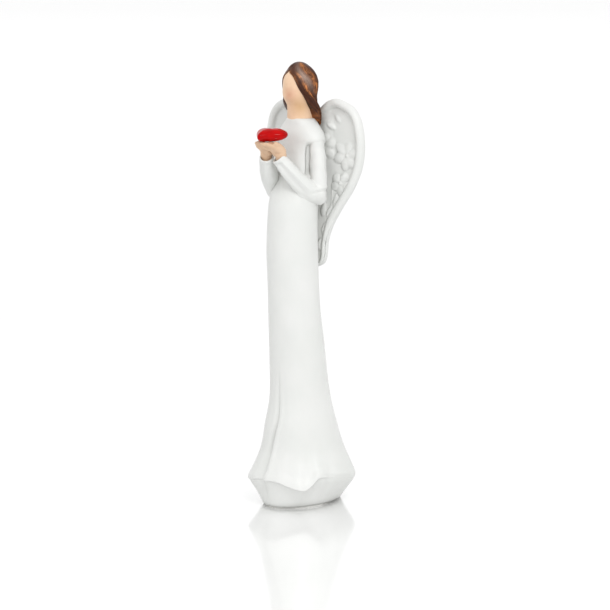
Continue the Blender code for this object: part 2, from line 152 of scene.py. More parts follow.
# Left arm: chains of place and radius
UPPER_ARM = (
    (12.4, -1.0, 246.6, 4.6),
    (15.2, -1.6, 239.6, 5.4),
    (17.0, -2.8, 226.0, 5.8),
    (17.6, -4.6, 212.6, 6.4),
)
FOREARM = (
    (16.4, -7.4, 213.0, 6.5),
    (13.0, -15.6, 219.4, 6.4),
    (9.0, -23.6, 228.6, 5.7),
    (5.6, -29.4, 236.8, 4.6),
)
ELBOW_DRAPE = ((17.8, -2.8, 210.0, 5.0), (15.0, -8.4, 211.0, 5.0), (12.2, -13.6, 213.8, 4.8))
ARM_BLEND = 3.0
SHOULDER_BLEND = 10.0
SHOULDER_HEIGHTS = (242.0, 249.0)
ARM_SLOT_DEPTH = 3.0
ARM_SLOT_FOOT = (223.5, 227.5)
ARM_SLOT_TOP = (243.5, 247.5)
CUFF_FACE = 1.2
CUFF_HOLLOW = 2.2

# Sleeve folds: rise, direction round the forearm from straight down, half width in degrees
FOREARM_FOLDS = ((0.5, 74.0, 9.0), (-1.1, 46.0, 19.0), (0.2, 8.0, 12.0))
ELBOW_CREASE = 213.6

# Hands: how far the fingers reach forward and inward, and what each adds, from the little one
HAND_REACHES = {"left": (6.6, 2.6), "right": (3.4, -1.0)}
FINGER_EXTRAS = (0.0, 1.0, 1.2, 0.4)

# Wings: height, inner edge and outer edge measured from the spine
WING_STATIONS = (
    (160.8, 2.4, 4.8),
    (163.0, 0.6, 9.4),
    (168.0, 0.2, 12.0),
    (178.0, 0.2, 13.0),
    (190.0, 0.2, 17.4),
    (202.0, 0.2, 25.0),
    (215.0, 0.2, 34.1),
    (229.0, 0.2, 40.4),
    (243.0, 0.2, 42.4),
    (256.0, 0.6, 41.1),
    (264.4, 3.5, 38.3),
    (270.6, 9.5, 33.2),
    (274.0, 14.0, 26.2),
    (275.4, 18.2, 21.4),
)
WING_FOOT, WING_TOP = WING_STATIONS[0][0], WING_STATIONS[-1][0]
WING_OUTLINE_COUNT = 400
WING_CENTRE = (13.5, 224.0)
WING_MIDDLE = 11.0
WING_SWEEP = 0.08
WING_HALF_THICKNESS = 2.9
WING_RIM = 5.8
WING_ROOT = 3.4
SPINE_WIDTH = 0.7

# Feather lines on the back: height that they fan out from, and how many in half a turn
FEATHER_ROOT = 172.0
FEATHER_COUNT = 18

# Flowers in the wing's own plane: centre, tips of the petals, their width and rise
FLOWERS = (
    (
        (29.7, 237.7),
        ((29.6, 248.4), (20.2, 245.6), (18.6, 234.6), (26.8, 227.2), (34.6, 229.0), (37.4, 240.6)),
        7.4,
        1.9,
    ),
    (
        (11.5, 243.0),
        ((12.6, 252.6), (4.6, 249.8), (3.2, 240.4), (10.6, 233.4), (18.4, 235.8), (19.6, 247.4)),
        6.8,
        1.5,
    ),
    (
        (24.2, 219.0),
        ((29.4, 225.4), (18.6, 224.4), (17.0, 215.0), (24.6, 209.4), (31.2, 214.8)),
        6.8,
        1.6,
    ),
)
BUD_RADIUS = 1.9

# Leaves and buds: foot, tip and width
LEAVES = (
    ((21.0, 212.0), (19.8, 201.6), 5.0),
    ((17.6, 204.4), (14.6, 193.8), 5.0),
    ((12.6, 206.0), (10.4, 196.0), 4.6),
    ((13.4, 192.4), (11.2, 182.6), 4.6),
    ((9.6, 181.4), (8.2, 172.6), 4.0),
    ((10.0, 224.0), (10.6, 213.6), 5.4),
    ((9.6, 233.0), (8.4, 224.6), 4.8),
    ((25.4, 262.4), (28.6, 268.4), 3.4),
    ((24.6, 258.6), (19.0, 264.6), 3.6),
    ((29.6, 257.6), (33.6, 264.4), 3.6),
    ((20.4, 254.6), (13.4, 259.0), 4.0),
)
LEAF_RISE = 1.5

# Stems: start and end
STEMS = (
    ((31.0, 248.0), (25.2, 262.6)),
    ((27.4, 253.4), (19.0, 254.6)),
    ((17.6, 214.0), (12.0, 188.0)),
)
STEM_RADIUS = 0.8

# Heart: width, length and thickness come from the CAD node's box
HEART_DIP = math.radians(4.0)
HEART_LENGTH_SHARE = 0.985
HEART_THICKNESS_SHARE = 0.93
HEART_LIFT = 0.9

# Head without hair, in its own direction: height, front depth, half width, back depth
HEAD_STATIONS = (
    (254.0, 8.4, 8.4, 8.4),
    (259.0, 8.9, 8.9, 9.0),
    (262.0, 8.9, 8.9, 9.0),
    (267.0, 8.8, 8.8, 8.8),
    (271.0, 9.1, 9.0, 9.0),
    (273.4, 10.4, 9.4, 9.2),
    (275.6, 11.6, 9.9, 9.6),
    (278.4, 12.1, 10.6, 10.2),
    (283.0, 12.1, 11.0, 10.8),
    (288.0, 11.8, 10.6, 10.6),
    (292.0, 10.4, 9.4, 9.4),
    (295.8, 7.4, 6.6, 6.6),
    (297.8, 4.2, 3.8, 3.8),
    (298.6, 1.0, 1.0, 1.0),
)
HEAD_COLUMNS = 160
HEAD_ROWS = (
    (HEAD_STATIONS[0][0], 262.0, 12),
    (262.0, 292.0, 90),
    (292.0, HEAD_STATIONS[-1][0], 24),
)

# Hair, in the head's direction: height, radii at front edge, side and back, lean forward
HAIR_STATIONS = (
    (259.4, 12.8, 15.4, 8.6, 0.0),
    (261.0, 13.8, 15.8, 9.4, 0.0),
    (266.0, 14.4, 15.0, 10.0, 0.0),
    (270.0, 14.4, 13.6, 10.2, 0.0),
    (273.0, 13.8, 12.4, 10.3, 0.0),
    (277.0, 12.0, 11.6, 10.6, 0.0),
    (280.0, 11.1, 11.7, 11.2, 0.0),
    (284.0, 10.8, 12.1, 11.8, 0.0),
    (288.0, 10.5, 11.8, 11.8, 0.1),
    (292.0, 9.4, 10.3, 10.6, 0.4),
    (295.5, 7.6, 8.1, 8.4, 0.7),
    (298.2, 5.2, 5.3, 5.4, 0.9),
    (299.6, 2.7, 2.7, 2.8, 0.9),
    (300.0, 0.8, 0.8, 0.8, 0.9),
)

# Face edge of the hair on the left and on the right: height and directions from the face
FACE_EDGE = (
    (258.0, 129.0, 128.0),
    (260.0, 125.0, 122.0),
    (263.9, 114.0, 104.0),
    (268.3, 99.0, 84.0),
    (272.3, 82.0, 69.0),
    (277.0, 65.0, 58.0),
    (280.0, 54.0, 51.0),
    (283.9, 43.0, 43.0),
    (288.3, 33.0, 33.0),
    (291.2, 22.0, 22.0),
    (293.2, 6.0, 6.0),
    (295.0, 1.0, 1.0),
    (300.0, 1.0, 1.0),
)

# Back edge of the front locks: height and direction from the face
LOCK_EDGE = (
    (257.0, 158.0),
    (266.0, 146.0),
    (273.0, 120.0),
    (277.0, 99.0),
    (281.4, 80.0),
    (288.3, 62.0),
    (293.5, 44.0),
    (297.0, 30.0),
    (300.0, 30.0),
)

# Hair mesh: rows, columns on each side, across the face and on the wall at the face edge
HAIR_ROWS = 170
SIDE_COLUMNS = 154
FACE_COLUMNS = 24
WALL_COLUMNS = 4
WALL_ANGLE = 3.0
STRANDS = 74
HAIR_COVER = 0.7
HAIR_TUCK = 1.4
RAGGED_END = 3.2

# Skin paint: two tones, the hands' share of them (painted shade that darkens the hands), and spots as
# place, radius and colour: a blush, then painted shade under the jaw
SKIN_TONES = ((0.72, 0.48, 0.31), (0.79, 0.56, 0.385))
# Painted shade: the hands take the skin tones darkened by this share.
HAND_SHADE_TONE = 0.86
FACE_BLUSH_AND_SHADE = (
    ((0.4, -12.8, 278.2), 6.0, (0.58, 0.30, 0.19)),
    # Painted shade under the jaw, on the neck beside the hair.
    ((5.6, -8.2, 270.4), 9.0, (0.58, 0.36, 0.18)),
)

# Stage in metres, watts and degrees, the lens in millimetres
# Softboxes: direction, elevation, distance, size and power
FLOOR_HALF_WIDTH = 40.0
WORLD_STRENGTH = 1.04
SOFTBOXES = {
    "key_softbox": (57.0, 36.0, 1.1, (0.40, 0.12), 3.1),
    "front_softbox": (14.0, 16.0, 1.1, (0.16, 0.03), 0.6),
}
SUN_STRENGTH = 0.08
SUN_SPREAD = 70.0
CAMERA_DIRECTION = 40.0
CAMERA_DISTANCE = 1.553
CAMERA_HEIGHT = 0.3586
CAMERA_DIP = 8.18
CAMERA_ASIDE = 0.0869
CAMERA_LENS = 136.3

# Waves that add up to an unevenness
WANDER_WAVES = 7


# Numbers on grids


def smooth(stations, keys):
    """Values at keys on a smooth curve through stations, each a rising key and its values."""
    table = np.array(stations, float)
    places, values = table[:, 0], table[:, 1:]
    count = np.arange(len(places))
    after, before = np.minimum(count + 1, count[-1]), np.maximum(count - 1, 0)
    slopes = (values[after] - values[before]) / (places[after] - places[before])[:, None]
    keys = np.clip(np.asarray(keys, float), places[0], places[-1])
    start = np.clip(np.searchsorted(places, keys, side="right") - 1, 0, len(places) - 2)
    span = (places[start + 1] - places[start])[..., None]
    t = (keys - places[start])[..., None] / span
    found = (
        (2 * t**3 - 3 * t**2 + 1) * values[start]
        + (t**3 - 2 * t**2 + t) * span * slopes[start]
        + (3 * t**2 - 2 * t**3) * values[start + 1]
        + (t**3 - t**2) * span * slopes[start + 1]
    )
    return np.moveaxis(found, -1, 0)


def around(stations, directions):
    """smooth() for stations keyed by a direction, closed round the full turn."""
    repeated = [(row[0] + turn, *row[1:]) for turn in (-360.0, 0.0, 360.0) for row in stations]
    return smooth(repeated, directions)


def ramp(low, high, x):
    """Smooth share from 0 at low to 1 at high; low may be the larger."""
    t = np.clip((x - low) / (high - low), 0.0, 1.0)
    return t * t * (3 - 2 * t)


def bell(off, half_width):
    """1 at no offset, falling away smoothly on both sides."""
    return np.exp(-((off / half_width) ** 2))


def turned(directions, middle):
    """Signed angle from middle to each direction, in degrees."""
    return (directions - middle + 180.0) % 360.0 - 180.0


def spread(runs):
    """Numbers in even steps along each run of start, end and count."""
    return np.unique(np.concatenate([np.linspace(*run) for run in runs]))


def wander(x, y, scale, seed):
    """A soft two-dimensional unevenness between about -1 and 1."""
    source = np.random.default_rng(seed)
    total = np.zeros(np.broadcast(x, y).shape)
    for _ in range(WANDER_WAVES):
        heading, phase = source.uniform(0, 2 * math.pi, 2)
        pitch = source.uniform(0.6, 1.5) / scale
        total = total + np.sin(2 * math.pi * pitch * (x * np.cos(heading) + y * np.sin(heading)) + phase)
    return total / (WANDER_WAVES / 2)


# Meshes


def make_mesh(name, points, faces):
    """A mesh in metres from points in design millimetres, with outward normals and smooth shading."""
    mesh = bpy.data.meshes.new(name)
    mesh.from_pydata((np.asarray(points) * UNIT).tolist(), [], faces)
    bm = bmesh.new()
    bm.from_mesh(mesh)
    bmesh.ops.recalc_face_normals(bm, faces=bm.faces)
    bm.to_mesh(mesh)
    bm.free()
    mesh.shade_smooth()
    return mesh


def grid_faces(rows, columns, first=0):
    """Faces of a grid closed round its columns, each end closed by a fan to its own middle point."""
    index = np.arange(rows * columns).reshape(rows, columns) + first
    right = np.roll(index, -1, axis=1)
    quads = np.stack([index[:-1], right[:-1], right[1:], index[1:]], axis=-1).reshape(-1, 4)
    low_middle, high_middle = first + rows * columns, first + rows * columns + 1
    low = [(a, b, low_middle) for a, b in zip(right[0].tolist(), index[0].tolist())]
    high = [(a, b, high_middle) for a, b in zip(index[-1].tolist(), right[-1].tolist())]
    return quads.tolist() + low + high


def grid_points(grid):
    """Points of a grid, then the middle points of its first and its last row."""
    return np.concatenate([grid.reshape(-1, 3), grid[0].mean(0)[None], grid[-1].mean(0)[None]])


def grid_object(name, grid):
    rows, columns = grid.shape[:2]
    return new_object(name, make_mesh(name, grid_points(grid), grid_faces(rows, columns)))


def new_object(name, data):
    obj = bpy.data.objects.new(name, data)
    bpy.context.scene.collection.objects.link(obj)
    return obj


def coordinates(mesh):
    """Vertex places in design millimetres."""
    flat = np.zeros(len(mesh.vertices) * 3)
    mesh.vertices.foreach_get("co", flat)
    return flat.reshape(-1, 3) / UNIT


def normals(mesh):
    flat = np.zeros(len(mesh.vertices) * 3, np.float32)
    mesh.vertices.foreach_get("normal", flat)
    return flat.reshape(-1, 3).astype(float)


def move_vertices(mesh, points):
    mesh.vertices.foreach_set("co", (points * UNIT).ravel())
    mesh.update()


def set_attribute(mesh, name, values):
    layer = mesh.attributes.new(name, "FLOAT", "POINT")
    layer.data.foreach_set("value", np.asarray(values, np.float32).ravel())


def set_uv(mesh, name, across, along):
    """A UV map from one pair of numbers for each vertex."""
    layer = mesh.uv_layers.new(name=name)
    corner = np.zeros(len(mesh.loops), np.int64)
    mesh.loops.foreach_get("vertex_index", corner)
    pairs = np.stack([np.asarray(across)[corner], np.asarray(along)[corner]], axis=-1)
    layer.data.foreach_set("uv", pairs.astype(np.float32).ravel())


def chain(stations, spacing=0.22):
    """Balls of place and radius in close steps along a chain of stations."""
    rows = np.array(stations, float)
    steps = np.linalg.norm(np.diff(rows[:, :3], axis=0), axis=1)
    along = np.concatenate([[0.0], np.cumsum(steps)])
    count = int(along[-1] / (spacing * rows[:, 3].min())) + 2
    keyed = np.column_stack([along, rows])
    return smooth(keyed, np.linspace(0.0, along[-1], count)).T


def melt(name, chains, side, voxel, rounds):
    """One closed body from the balls of the left side's chains, voxel remeshed and smoothed."""
    balls = np.concatenate([chain(mirrored(stations, side)) for stations in chains])
    tilt = np.linspace(-90.0, 90.0, 11)[1:-1, None] * math.pi / 180
    turn = np.linspace(0.0, 2 * math.pi, 18, endpoint=False)[None]
    upright = np.sin(tilt) + 0 * turn
    unit = np.stack([np.cos(tilt) * np.cos(turn), np.cos(tilt) * np.sin(turn), upright], -1)
    poles = np.array(((0, 0, -1), (0, 0, 1))) * (1 - upright.max())
    points, faces, first = [], [], 0
    for x, y, z, radius in balls:
        ball = grid_points(unit * radius + np.array((x, y, z)))
        ball[-2:] += poles * radius
        points.append(ball)
        faces += grid_faces(*unit.shape[:2], first=first)
        first += len(ball)
    source = new_object(name + "_source", make_mesh(name, np.concatenate(points), faces))
    remesh = source.modifiers.new("remesh", "REMESH")
    remesh.mode = "VOXEL"
    remesh.voxel_size = voxel * UNIT
    soften = source.modifiers.new("soften", "SMOOTH")
    soften.factor = 0.5
    soften.iterations = rounds
    evaluated = source.evaluated_get(bpy.context.evaluated_depsgraph_get())
    mesh = bpy.data.meshes.new_from_object(evaluated)
    mesh.name = name
    bpy.data.objects.remove(source)
    mesh.shade_smooth()
    return new_object(name, mesh)


def declare(obj, nodes, material):
    """The piece rides on the figure, hides the CAD nodes that it stands for, and takes the material."""
    obj.data.materials.clear()
    obj.data.materials.append(material)
    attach(obj, "root")
    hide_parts(*nodes)
    return obj


# Arms as distances, for the gown and the sleeves


def mirrored(stations, side):
    """Stations of the left side, or of the right one when side is -1."""
    return tuple((side * row[0], *row[1:]) for row in stations)


def chain_distance(points, stations):
    """Distance from each point to the nearest surface of the balls along a chain."""
    balls = chain(stations, 0.5)
    nearest = np.full(points.shape[:-1], np.inf)
    for ball in balls:
        nearest = np.minimum(nearest, np.linalg.norm(points - ball[:3], axis=-1) - ball[3])
    return nearest


def blend_rise(distance, height):
    """How far a surface rises towards another at that distance, most softly at the shoulder."""
    reach = ARM_BLEND + (SHOULDER_BLEND - ARM_BLEND) * ramp(*SHOULDER_HEIGHTS, height)
    share = np.clip(1 - np.abs(distance) / reach, 0.0, 1.0)
    return share**2 * reach / 4 * ramp(-2.5, 0.0, distance)


def gown_distance(points):
    """Rough distance of points from the plain gown's surface."""
    width, depth, centre = smooth(GOWN_STATIONS, points[:, 2])
    reach = np.hypot(points[:, 0] / width, (points[:, 1] - centre) / depth)
    return (reach - 1) * np.minimum(width, depth)


# Gown


def hem_edge(directions):
    """Height of the hem's edge, and how crisp the edge is."""
    height, crisp = around(HEM_EDGE, directions)
    return height, np.clip(crisp, 0.0, 1.0)


def pleat_depth(directions, heights):
    """The groove beside the front panel: a steep wall under the panel's edge, then an easy slope."""
    edge, depth, width = smooth(PLEAT_STATIONS, heights)
    into = -turned(directions, edge) / width
    wall = ramp(0.0, 0.22, into)
    slope = 1 - ramp(0.25, 1.9, into)
    lip = 0.22 * bell(turned(directions, edge + 4.0), 4.0)
    return depth * (lip - wall * slope)


def skirt_folds(directions, heights):
    """Rise of the broad folds, which narrow and grow towards the hem."""
    total = np.zeros_like(heights)
    for middle, half_width, rise, top in SKIRT_FOLDS:
        reach = np.clip((top - heights) / (top - 18.0), 0.0, 1.0) ** 1.3
        narrow = half_width * (1 - 0.35 * reach)
        total += rise * reach * bell(turned(directions, middle), narrow)
    return total


def gown_surface(directions, keys):
    """Points of the gown and its outward directions; keys are heights before the hem's edge acts."""
    edge, crisp = hem_edge(directions)
    under = keys < HEM_HEIGHT
    share = (keys - GOWN_BOTTOM) / (HEM_HEIGHT - GOWN_BOTTOM)
    width, depth, centre = smooth(GOWN_STATIONS, keys)
    width = np.where(under, BASE_HALF_WIDTH + (width - BASE_HALF_WIDTH) * share, width)
    depth = np.where(under, BASE_HALF_DEPTH + (depth - BASE_HALF_DEPTH) * share, depth)
    lifted = np.where(
        under,
        GOWN_BOTTOM + (edge - GOWN_BOTTOM) * share,
        keys + (edge - HEM_HEIGHT) * (1 - ramp(HEM_HEIGHT, HEM_FADE_TOP, keys)),
    )
    below_lip = ramp(HEM_HEIGHT - 0.1, HEM_HEIGHT - 1.1, keys) * ramp(GOWN_BOTTOM, 11.0, keys)
    rise = skirt_folds(directions, keys) * np.where(under, share, 1.0)
    rise += pleat_depth(directions, keys) * np.where(under, share**2, 1.0)
    rise -= HEM_LIP * crisp * below_lip
    rise -= HEM_ROUNDING * (1 - crisp) * bell(keys - HEM_HEIGHT, 1.6)
    rise += 0.16 * wander(directions * 0.35, keys, 24.0, seed=3) * ramp(24.0, 60.0, keys)
    angle = np.radians(directions)
    out = np.stack([np.sin(angle), -np.cos(angle), 0 * angle], axis=-1)
    flat = np.stack([width * np.sin(angle), centre - depth * np.cos(angle), lifted], axis=-1)
    return flat + rise[..., None] * out, out


def arm_marks(points):
    """Rise of the gown beside the arms: a soft joint, and a slot in front of the upper arm."""
    total = np.zeros(points.shape[:-1])
    for side in (1, -1):
        upper = chain_distance(points, mirrored(UPPER_ARM, side))
        fore = chain_distance(points, mirrored(FOREARM, side))
        height = points[..., 2]
        slot = ramp(*ARM_SLOT_FOOT, height) * (1 - ramp(*ARM_SLOT_TOP, height))
        front = ramp(2.0, -3.0, points[..., 1])
        total += blend_rise(upper, height) * (1 - slot * front)
        total += 0.5 * blend_rise(fore, height)
        total -= ARM_SLOT_DEPTH * slot * front * ramp(4.0, 2.2, upper)
    return total


def build_gown(material):
    turn = np.linspace(-180.0, 180.0, GOWN_COLUMNS, endpoint=False)
    keys, directions = np.meshgrid(spread(GOWN_ROWS), turn, indexing="ij")
    points, out = gown_surface(directions, keys)
    points += arm_marks(points)[..., None] * out
    gown = grid_object("gown", points)
    return declare(gown, ["gown_body"], material)


# Sleeves


def along_chain(points, stations):
    """Share along the line from a chain's first place to its last, the first place, and the axis."""
    start, end = np.array(stations[0][:3]), np.array(stations[-1][:3])
    axis = end - start
    return (points - start) @ axis / (axis @ axis), start, axis / np.linalg.norm(axis)


def sleeve_folds(points, side):
    """Cloth folds pressed into a sleeve: a ridge under the forearm and creases at the elbow."""
    share, start, axis = along_chain(points, mirrored(FOREARM, side))
    off = points - start
    down = np.array((0.0, 0.0, -1.0)) + axis * axis[2]
    down /= np.linalg.norm(down)
    outward = np.cross(axis, down) * side
    turn = np.degrees(np.arctan2(off @ outward, off @ down))
    on_forearm = ramp(0.05, 0.3, share) * (1 - ramp(0.96, 1.0, share))
    total = sum(rise * bell(turn - middle, width) for rise, middle, width in FOREARM_FOLDS) * on_forearm
    height = points[:, 2]
    crease = ELBOW_CREASE + 1.4 * np.cos(np.radians(8 * (points[:, 1] + 3.0)))
    on_upper = ramp(0.16, 0.0, share) * ramp(6.0, 12.0, side * points[:, 0])
    total -= 0.7 * bell(height - crease, 1.0) * on_upper
    total += 0.35 * bell(height - crease - 2.0, 1.4) * on_upper
    return total


def build_sleeve(word, side, material):
    chains = (UPPER_ARM, FOREARM, ELBOW_DRAPE)
    sleeve = melt(f"{word}_sleeve_cloth", chains, side, voxel=0.5, rounds=10)
    points = coordinates(sleeve.data)
    lift = sleeve_folds(points, side)
    lift += 0.14 * wander(points[:, 2], points[:, 1], 11.0, seed=5 + side)
    lift += blend_rise(gown_distance(points), points[:, 2]) * ramp(236.0, 244.0, points[:, 2])
    move_vertices(sleeve.data, points + lift[:, None] * normals(sleeve.data))
    cut_cuff(sleeve, side)
    return declare(sleeve, [f"{word}_sleeve"], material)


def cut_cuff(sleeve, side):
    """Press the rounded end of the sleeve flat and hollow it a little, so that it reads as a cuff."""
    stations = mirrored(FOREARM, side)
    end = np.array(stations[-1][:3])
    axis = end - np.array(stations[-2][:3])
    axis /= np.linalg.norm(axis)
    points = coordinates(sleeve.data)
    off = points - end
    past = off @ axis
    across = np.linalg.norm(off - past[:, None] * axis, axis=1)
    radius = stations[-1][3]
    near = across < 1.6 * radius
    limit = CUFF_FACE - CUFF_HOLLOW * (1 - ramp(0.62 * radius, 0.86 * radius, across))
    excess = np.where(near, np.maximum(past - limit, 0.0), 0.0)
    points -= excess[:, None] * axis
    flare = 0.45 * bell(past - 0.2, 1.3) * ramp(0.5 * radius, 0.9 * radius, across) * near
    away = (off - past[:, None] * axis) / np.maximum(across, 0.1)[:, None]
    move_vertices(sleeve.data, points + flare[:, None] * away)


# Hands


def hand_chains(reach, inward):
    """Left hand as chains: wrist, palm, four fingers from the little one out, and thumb.

    The fingers reach forward and inward by the given amounts, and the palm inward with them.
    """
    wrist = ((7.4, -26.2, 233.6, 3.1), (6.4, -28.2, 236.8, 3.5), (6.4, -29.0, 239.6, 3.9))
    palm = (
        ((6.6, -29.0, 241.6, 3.6), (6.2, -32.4, 244.4, 3.2), (5.4 - inward, -35.6, 245.8, 2.7)),
        ((3.8, -29.8, 241.2, 3.3), (3.4, -32.8, 244.2, 3.2), (2.4 - inward, -35.6, 245.4, 2.7)),
    )
    fingers = []
    for number, extra in enumerate(FINGER_EXTRAS):
        root = np.array((1.8 + 1.6 * number, -33.4, 244.8))
        along = np.array((-inward, -reach - extra, 2.2))
        middle = root + 0.5 * along - np.array((0.0, 0.0, 0.3))
        fingers.append(((*root, 1.9), (*middle, 1.65), (*(root + along), 1.3)))
    thumb = ((7.6, -29.4, 243.4, 2.2), (7.8, -32.2, 245.6, 1.8), (7.2, -35.4, 247.4, 1.4))
    return (wrist, *palm, *fingers, thumb)


def build_hand(word, side, material):
    chains = hand_chains(*HAND_REACHES[word])
    hand = melt(f"{word}_hand_skin", chains, side, voxel=0.32, rounds=5)
    points = coordinates(hand.data)
    lift = 0.06 * wander(points[:, 0], points[:, 1] + points[:, 2], 3.0, seed=11)
    move_vertices(hand.data, points + lift[:, None] * normals(hand.data))
    return declare(hand, [f"{word}_hand"], material)


# Wings


def wing_outline():
    """Closed outline of a wing in its plane, evenly spaced: up the outer edge, down the inner one."""
    keys = spread(((WING_FOOT, 166.0, 30), (166.0, 264.0, 120), (264.0, WING_TOP, 60)))
    inner, outer = smooth(WING_STATIONS, keys)
    up = np.column_stack([outer, keys])
    down = np.column_stack([inner, keys])[::-1]
    loop = np.concatenate([up, down])
    loop = np.concatenate([loop, loop[:1]])
    steps = np.linalg.norm(np.diff(loop, axis=0), axis=1)
    along = np.concatenate([[0.0], np.cumsum(steps)])
    places = np.linspace(0.0, along[-1], WING_OUTLINE_COUNT, endpoint=False)
    return np.column_stack([np.interp(places, along, loop[:, i]) for i in range(2)])


def edge_distance(x, z, outline):
    """Distance to the outline, leaving out the part that runs down the spine."""
    free = outline[outline[:, 0] > SPINE_WIDTH]
    nearest = np.full(x.shape, np.inf)
    for px, pz in free:
        nearest = np.minimum(nearest, (x - px) ** 2 + (z - pz) ** 2)
    return np.sqrt(nearest)


def leaf_height(x, z, foot, tip, width, rise):
    """A domed leaf or petal from foot to tip, fullest past its middle, with a faint centre line."""
    foot, tip = np.array(foot), np.array(tip)
    axis = tip - foot
    length = np.linalg.norm(axis)
    axis /= length
    along = ((x - foot[0]) * axis[0] + (z - foot[1]) * axis[1]) / length
    across = (x - foot[0]) * -axis[1] + (z - foot[1]) * axis[0]
    inside = np.clip(along, 0.0, 1.0)
    half = 0.5 * width * np.sin(math.pi * inside**1.25) ** 0.62 + 1e-3
    share = np.clip(np.abs(across) / half, 0.0, 1.0)
    dome = np.sqrt(1 - share**2) * np.sin(math.pi * inside**0.8) ** 0.5
    return np.where((along > 0) & (along < 1), rise * dome, 0.0)


def flower_height(x, z, centre, tips, width, rise):
    """Petals from the centre to their tips, with a round bud in the middle."""
    total = np.zeros_like(x)
    for tip in tips:
        total = np.maximum(total, leaf_height(x, z, centre, tip, width, rise))
    off = np.hypot(x - centre[0], z - centre[1])
    bud = 1.25 * rise * np.sqrt(np.clip(1 - (off / BUD_RADIUS) ** 2, 0.0, 1.0))
    return np.maximum(total, bud)


def stem_height(x, z, start, end):
    """A round stem that bows outwards between its ends."""
    start, end = np.array(start), np.array(end)
    axis = end - start
    share = np.clip(((x - start[0]) * axis[0] + (z - start[1]) * axis[1]) / (axis @ axis), 0.0, 1.0)
    bow = 1.6 * np.sin(math.pi * share)
    off = np.hypot(x - start[0] - share * axis[0] - bow, z - start[1] - share * axis[1])
    return STEM_RADIUS * np.sqrt(np.clip(1 - (off / STEM_RADIUS) ** 2, 0.0, 1.0))


def wing_relief(x, z):
    """Height of the flowers, leaves and stems above the wing's field."""
    total = np.zeros_like(x)
    for flower in FLOWERS:
        total = np.maximum(total, flower_height(x, z, *flower))
    for leaf in LEAVES:
        total = np.maximum(total, leaf_height(x, z, *leaf, LEAF_RISE))
    for start, end in STEMS:
        total = np.maximum(total, stem_height(x, z, start, end))
    return total


def bead_height(distance, width, top):
    """A round bead of the given width along the edge, level zero at the edge itself."""
    share = np.clip(distance / width, 0.0, 1.0)
    return top * np.sqrt(np.clip(1 - (2 * share - 1) ** 2, 0.0, 1.0))


def wing_front(x, z, distance):
    """How far the front stands out from the wing's middle plane."""
    rim = WING_RIM * (0.55 + 0.45 * ramp(2.0, 16.0, x)) * (0.75 + 0.25 * ramp(176.0, 200.0, z))
    bead = bead_height(distance, rim, WING_HALF_THICKNESS + 0.4)
    body_side = 1 - ramp(5.0, 24.0, x)
    field = 0.6 + 1.6 * body_side - 2.8 * bell(x - 27.0, 9.0) * bell(z - 254.0, 12.0)
    field -= 0.8 * bell(distance - rim - 2.0, 2.6) * ramp(196.0, 220.0, z)
    field += 0.25 * wander(x, z, 16.0, seed=21)
    root = WING_ROOT * (1 - ramp(0.0, 11.0, x)) * (1 - ramp(250.0, 261.0, z))
    inside = ramp(0.55, 1.0, distance / rim)
    shown = (field + wing_relief(x, z) * ramp(0.8, 1.15, distance / rim)) * inside + root
    return np.maximum(bead, shown * ramp(0.0, 1.6, distance))


def wing_back(x, z, distance):
    """How far the back stands out behind the middle plane: rim, soft swell and feather lines."""
    rim = WING_RIM * 0.9
    bead = bead_height(distance, rim, WING_HALF_THICKNESS)
    field = 1.9 + 0.5 * (1 - ramp(4.0, 30.0, x)) + 0.15 * wander(x, z, 18.0, seed=23)
    fan = np.degrees(np.arctan2(x, z - FEATHER_ROOT))
    groove = np.abs(np.cos(np.radians(fan * FEATHER_COUNT))) ** 24
    field -= 0.45 * groove * ramp(8.0, 40.0, z - FEATHER_ROOT) * ramp(1.2, 2.2, distance / rim)
    return np.maximum(bead, field * ramp(0.3, 1.3, distance / rim))


def build_wing(word, side, material):
    outline = wing_outline()
    near_edge = 1 - 0.2 * np.linspace(1, 0, 34)[1:] ** 1.6
    shares = np.concatenate([[0.03], np.linspace(0.06, 0.8, 46), near_edge])
    centre = np.array(WING_CENTRE)
    flat = centre + shares[:, None, None] * (outline - centre)
    x, z = flat[..., 0], flat[..., 1]
    distance = edge_distance(x, z, outline)
    distance[-1] = 0.0
    plane = WING_MIDDLE + WING_SWEEP * x
    front = np.stack([side * x, plane - wing_front(x, z, distance), z], axis=-1)
    back = np.stack([side * x, plane + wing_back(x, z, distance), z], axis=-1)
    grid = np.concatenate([front, back[-2::-1]])
    wing = grid_object(f"{word}_wing_relief", grid)
    return declare(wing, [f"{word}_wing"], material)


# Heart


def heart_outline(count):
    """Unit heart curve, tip towards -Y, centred."""
    t = np.linspace(0.0, 2 * math.pi, count, endpoint=False) + math.pi / count
    across = np.sin(t) ** 3 / 2
    along = (13 * np.cos(t) - 5 * np.cos(2 * t) - 2 * np.cos(3 * t) - np.cos(4 * t)) / 29.0
    return across, along - (along.max() + along.min()) / 2


def build_heart(material):
    low, high = (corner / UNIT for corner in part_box("heart"))
    middle = np.array((low + high) / 2)
    width = high.x - low.x
    length = (high.y - low.y) * HEART_LENGTH_SHARE
    thickness = (high.z - low.z) * HEART_THICKNESS_SHARE
    across, along = heart_outline(220)
    tilt = np.radians(np.linspace(-88.0, 88.0, 61))[:, None]
    inset = np.cos(tilt) ** 0.72
    rise = np.sin(tilt) * thickness / 2
    x = across * width * inset
    y = along * length * inset
    cleft = bell(x, 2.2) * ramp(0.0, 0.45 * length, y) * np.cos(tilt)
    shrink = 1 - 0.16 * ramp(0.0, -0.5, y / length)
    z = rise * shrink * (1 - 0.22 * cleft) * np.where(rise > 0, 1.0, 0.86) + HEART_LIFT
    z += 0.1 * wander(x, y, 6.0, seed=31) * np.abs(np.sin(tilt))
    z += math.tan(HEART_DIP) * y
    grid = np.stack([x, y, z], axis=-1) + middle
    heart = grid_object("heart_enamelled", grid)
    return declare(heart, ["heart"], material)


# Head and hair


